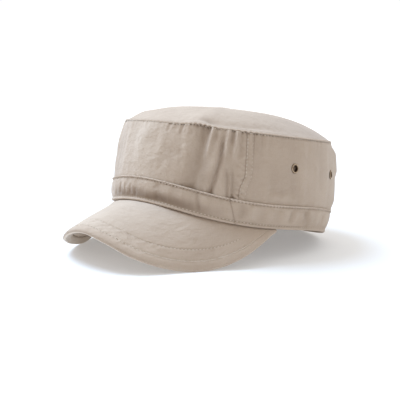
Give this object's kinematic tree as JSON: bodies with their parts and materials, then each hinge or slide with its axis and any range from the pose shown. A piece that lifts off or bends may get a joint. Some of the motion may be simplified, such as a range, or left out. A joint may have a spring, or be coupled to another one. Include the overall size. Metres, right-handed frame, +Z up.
{
  "type": "army cap",
  "caption": "Flat-topped army cap of beige cotton twill: domed top panel, folded front wall, proud band, short arched peak and metal air eyelets, open for the head.",
  "frame": {"origin": "on the surface that the cap rests on, under the middle of its bounding box", "axes": "+Z up, the centre front towards -Y, the wearer's left towards +X; the cap leans back 9.2 degrees, as it lies by itself"},
  "size_m": [0.17, 0.2603, 0.1111],
  "materials": {
    "twill": "washed cotton twill, light stone beige, with tonal stitching",
    "eyelet_metal": "antique dark brass, worn brighter on the rolled rim"
  },
  "bodies": {
    "root": {"crown_top": "twill", "crown_front": "twill", "crown_back": "twill", "band_front": "twill", "band_back": "twill", "peak": "twill", "eyelet_left_front": "eyelet_metal", "eyelet_left_rear": "eyelet_metal", "eyelet_right_front": "eyelet_metal", "eyelet_right_rear": "eyelet_metal"}
  },
  "joints": []
}
